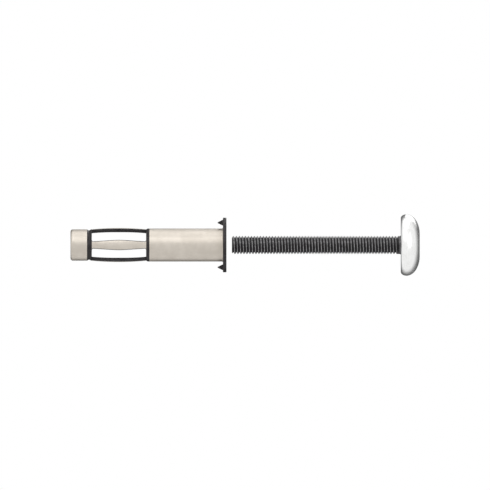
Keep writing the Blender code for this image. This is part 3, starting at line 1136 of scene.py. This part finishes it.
@dataclass
class MachineScrew:
    """The screw: a threaded shank under a wide domed head with a cross recess."""

    low: Vector
    high: Vector
    head_height: float = 6.30 * MM
    shank_radius: float = 3.0 * MM
    tip_chamfer: float = 0.50 * MM
    neck_length: float = 0.30 * MM
    neck_rise: float = 0.10 * MM
    head_flat_radius: float = 3.75 * MM
    head_edge_rise: float = 1.90 * MM
    head_edge_reach: float = 1.30 * MM
    recess_span: float = 6.90 * MM
    recess_wing: float = 2.00 * MM
    recess_foot_span: float = 3.00 * MM
    recess_foot_wing: float = 1.30 * MM
    recess_depth: float = 3.50 * MM
    recess_point: float = 0.40 * MM
    edge_round: float = 0.06 * MM
    sharp_degrees: float = 50.0
    thread_gap: float = 0.47 * MM
    thread_run_out: float = 0.2
    crown_steps: int = 28
    edge_steps: int = 10

    def __post_init__(self) -> None:
        """Works out where the head's seat is."""
        self.seat = self.high.x - self.head_height

    def profile(self) -> list[Point2]:
        """Draws the blank's outline from the middle of its tip to the middle of its crown.

        Returns:
            The points as (x, radius).
        """
        tip, top, rim = self.low.x, self.high.x, self.high.z
        neck = self.seat - self.neck_length
        points = [
            (tip, 0.0),
            (tip, self.shank_radius - self.tip_chamfer),
            (tip + self.tip_chamfer, self.shank_radius),
            (neck, self.shank_radius),
            (neck + self.neck_rise, self.shank_radius + self.neck_rise),
            (self.seat, self.shank_radius + self.neck_rise),
        ]
        for turn in quarter_turns(self.edge_steps):
            x = self.seat + self.head_edge_rise * (1 - math.cos(turn))
            points.append((x, rim - self.head_edge_reach * (1 - math.sin(turn))))
        rise = top - self.seat - self.head_edge_rise
        reach = rim - self.head_flat_radius
        for turn in quarter_turns(self.crown_steps)[1:]:
            x = self.seat + self.head_edge_rise + rise * math.sin(turn)
            points.append((x, self.head_flat_radius + reach * math.cos(turn)))
        points.append((top, 0.0))
        return points

    def cross_outline(self, bm: BMesh, x: float, span: float, wing: float) -> list[Vert]:
        """Twelve corners of the recess in the plane at x.

        Args:
            bm: The mesh to add them to.
            x: The plane's place along X.
            span: How far the cross reaches from end to end.
            wing: How wide its arms are.

        Returns:
            The corners in order.
        """
        corners = []
        for arm in range(4):
            turn = arm * math.pi / 2
            for out, aside in ((span, -wing), (span, wing), (wing, wing)):
                y = out * math.cos(turn) - aside * math.sin(turn)
                z = out * math.sin(turn) + aside * math.cos(turn)
                corners.append(bm.verts.new((x, y / 2, z / 2)))
        return corners

    def recess_cutter(self) -> Piece:
        """Makes the tapered cross of the driver, from above the head down to its point.

        Returns:
            The cutter's object.
        """
        bm = bmesh.new()
        top_x = self.high.x
        foot_x = top_x - self.recess_depth + self.recess_point
        above = self.recess_point
        slope = (self.recess_span - self.recess_foot_span) / (top_x - foot_x)
        top = self.cross_outline(bm, top_x + above, self.recess_span + slope * above, self.recess_wing)
        foot = self.cross_outline(bm, foot_x, self.recess_foot_span, self.recess_foot_wing)
        point = bm.verts.new((top_x - self.recess_depth, 0.0, 0.0))
        bm.faces.new(top)
        for i, corner in enumerate(foot):
            k = (i + 1) % len(foot)
            bm.faces.new((top[i], top[k], foot[k], corner))
            bm.faces.new((corner, foot[k], point))
        return new_object("recess_cutter", bm)

    def build(self, cutter: ThreadCutter, start: float, finish: RolledThread) -> Piece:
        """Makes the screw.

        Args:
            cutter: What cuts its thread.
            start: Where along X the groove begins, short of the tip.
            finish: Its finish.

        Returns:
            The finished object.
        """
        obj = turned("machine_screw_body", self.profile(), cutter.form.steps, closed=False)
        recess_tool = self.recess_cutter()
        recess = obj.modifiers.new("cross_recess", "BOOLEAN")
        recess.operation = "DIFFERENCE"
        recess.solver = "EXACT"
        recess.object = recess_tool
        add_bevel(obj, self.edge_round, self.sharp_degrees)
        set_plain(obj)
        bpy.data.objects.remove(recess_tool, do_unlink=True)
        turns = (self.seat - self.neck_length - self.thread_gap - start) / cutter.form.pitch
        cutter.cut(obj, ThreadSide.EXTERNAL, start, turns, self.thread_run_out, finish.build())
        even_shading(obj)
        return obj


@dataclass
class ThreadedNut:
    """The nut that the collar holds: a plain ring with a threaded bore."""

    low: Vector
    high: Vector
    chamfer: float = 0.20 * MM
    mouth_radius: float = 3.12 * MM
    edge_round: float = 0.04 * MM
    sharp_degrees: float = 35.0
    thread_run_out: float = 0.01

    def build(self, cutter: ThreadCutter, phase: float, finish: MachinedSteel) -> Piece:
        """Makes the nut.

        Args:
            cutter: What cuts its thread.
            phase: A place along X that its groove passes, at the angle where grooves start.
            finish: Its finish.

        Returns:
            The finished object.
        """
        front, back, outside = self.high.x, self.low.x, self.high.z
        bore, pitch = cutter.form.nut_minor, cutter.form.pitch
        sunk = self.mouth_radius - bore
        profile = [
            (front, self.mouth_radius),
            (front, outside - self.chamfer),
            (front - self.chamfer, outside),
            (back + self.chamfer, outside),
            (back, outside - self.chamfer),
            (back, self.mouth_radius),
            (back + sunk, bore),
            (front - sunk, bore),
        ]
        obj = turned("threaded_nut_ring", profile, cutter.form.steps, closed=True)
        add_bevel(obj, self.edge_round, self.sharp_degrees)
        set_plain(obj)
        start = phase - math.ceil((phase - back) / pitch + 1) * pitch
        turns = math.ceil((front - start) / pitch + 1)
        cutter.cut(obj, ThreadSide.INTERNAL, start, turns, self.thread_run_out, finish.build())
        even_shading(obj)
        return obj


@dataclass(frozen=True)
class Softbox:
    """One soft area light, aimed at the middle of the object."""

    name: str
    place: Point3
    size: float
    power: float

    def build(self, target: Vector) -> None:
        """Adds the light to the scene.

        Args:
            target: The point that it is aimed at.
        """
        lamp = bpy.data.lights.new(self.name, "AREA")
        lamp.shape = "SQUARE"
        lamp.size = self.size
        lamp.energy = self.power
        obj = bpy.data.objects.new(self.name, lamp)
        obj.location = self.place
        obj.rotation_mode = "QUATERNION"
        obj.rotation_quaternion = (target - Vector(self.place)).to_track_quat("-Z", "Y")
        obj.visible_camera = False
        bpy.context.scene.collection.objects.link(obj)


@dataclass
class Studio:
    """A pale floor under the held anchor, soft light all round it, and the photograph's side view."""

    floor_depth: float = 88.0 * MM
    floor_size: float = 8.0
    floor_colour: Colour = (0.88, 0.88, 0.88)
    floor_roughness: float = 0.9
    backdrop: Colour = (1.0, 1.0, 1.0)
    ambient: Colour = (0.95, 0.95, 0.95)
    dark_field: Colour = (0.05, 0.05, 0.05)
    frame_pixels: int = 490
    pixels_per_mm: float = 3.0
    flange_pixel: float = 222.4
    axis_pixel: float = 244.5
    camera_distance: float = 0.6
    softboxes: tuple[Softbox, ...] = (
        Softbox("key_softbox", (-0.20, -0.55, 0.50), 0.55, 1.0),
        Softbox("fill_softbox", (0.45, -0.50, 0.18), 0.50, 0.5),
        Softbox("top_softbox", (0.0, 0.05, 0.75), 0.70, 0.9),
        Softbox("back_softbox", (0.25, 0.60, 0.45), 0.55, 1.2),
    )

    def add_floor(self) -> None:
        """Adds the floor."""
        bm = bmesh.new()
        bmesh.ops.create_grid(bm, x_segments=1, y_segments=1, size=self.floor_size / 2)
        bmesh.ops.translate(bm, verts=bm.verts, vec=(0.0, 0.0, -self.floor_depth))
        floor = new_object("studio_floor", bm)
        paint = FinishGraph("studio floor", 0.0)
        paint.give(paint.shader.inputs["Base Color"], self.floor_colour)
        paint.give(paint.shader.inputs["Roughness"], self.floor_roughness)
        floor.data.materials.append(paint.material)
        floor.visible_glossy = False

    def add_world(self) -> None:
        """Sets the pale backdrop, and a dark field behind the object for its metal to reflect."""
        world = bpy.data.worlds.new("studio")
        bpy.context.scene.world = world
        world.use_nodes = True
        world.node_tree.nodes.clear()
        graph = NodeGraph(world.node_tree)
        place = graph.add("ShaderNodeTexCoord").outputs["Generated"]
        behind = graph.add("ShaderNodeSeparateXYZ", {0: place}).outputs[1]
        sky = graph.mix(graph.ramp(behind, 0.25, 0.90), self.ambient, self.dark_field)
        camera_ray = graph.add("ShaderNodeLightPath").outputs["Is Camera Ray"]
        lit = graph.add("ShaderNodeBackground", {"Color": sky}).outputs[0]
        seen = graph.add("ShaderNodeBackground", {"Color": self.backdrop}).outputs[0]
        mixed = graph.add("ShaderNodeMixShader", {0: camera_ray, 1: lit, 2: seen}).outputs[0]
        graph.add("ShaderNodeOutputWorld", {0: mixed})

    def add_camera(self) -> None:
        """Adds the camera, square on to the anchor's side as in the photograph."""
        lens = bpy.data.cameras.new("photo_camera")
        lens.type = "ORTHO"
        lens.ortho_scale = self.frame_pixels / self.pixels_per_mm * MM
        camera = bpy.data.objects.new("photo_camera", lens)
        middle = (self.frame_pixels - 1) / 2
        x = (middle - self.flange_pixel) / self.pixels_per_mm * MM
        z = (self.axis_pixel - middle) / self.pixels_per_mm * MM
        camera.location = (x, -self.camera_distance, z)
        camera.rotation_euler = (math.pi / 2, 0.0, 0.0)
        bpy.context.scene.collection.objects.link(camera)
        bpy.context.scene.camera = camera

    def build(self, target: Vector) -> None:
        """Adds everything round the object.

        Args:
            target: The point that the lights are aimed at.
        """
        bpy.context.scene.view_settings.view_transform = "Standard"
        self.add_floor()
        self.add_world()
        self.add_camera()
        for softbox in self.softboxes:
            softbox.build(target)


def place_on_body(obj: Piece, body: str, node: str) -> None:
    """Makes a finished piece ride on its body and stand for its solid, and reports it.

    Args:
        obj: The piece.
        body: The body that it moves with.
        node: The solid that it stands for.
    """
    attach(obj, body)
    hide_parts(node)
    obj.data.calc_loop_triangles()
    log.info("%s: %d triangles", obj.name, len(obj.data.loop_triangles))


def main() -> None:
    """Builds the sleeve, the nut and the screw, and the studio round them."""
    logging.basicConfig(level=logging.INFO, format="%(name)s: %(message)s")
    sleeve_low, sleeve_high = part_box("anchor_sleeve")
    nut_low, nut_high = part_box("threaded_nut")
    screw_low, screw_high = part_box("machine_screw")

    sleeve = AnchorSleeve(sleeve_low, sleeve_high, nut_high)
    strip = CoatedStrip("warm passivated strip", metallic=0.85, roughness=0.40, grain_depth=0.25)
    place_on_body(sleeve.build(strip), "sleeve", "anchor_sleeve")

    cutter = ThreadCutter(ThreadForm())
    pitch = cutter.form.pitch
    screw = MachineScrew(screw_low, screw_high)
    screw_start = screw_low.x - cutter.form.lead_in - pitch / 2
    rolled = RolledThread("rolled screw steel", 0.9, 0.27, 0.18, seat=screw.seat, crown=screw_high.x)
    place_on_body(screw.build(cutter, screw_start, rolled), "screw", "machine_screw")

    travel = frame["joints"][0]["range_m"][1]
    nut = ThreadedNut(nut_low, nut_high)
    turned_steel = MachinedSteel("oiled nut steel", metallic=0.95, roughness=0.36, grain_depth=0.2)
    in_mesh = screw_start + pitch / 2 - travel
    place_on_body(nut.build(cutter, in_mesh, turned_steel), "sleeve", "threaded_nut")

    low, high = cad_box
    Studio().build((low + high) / 2)


if __name__ == "__main__":
    main()
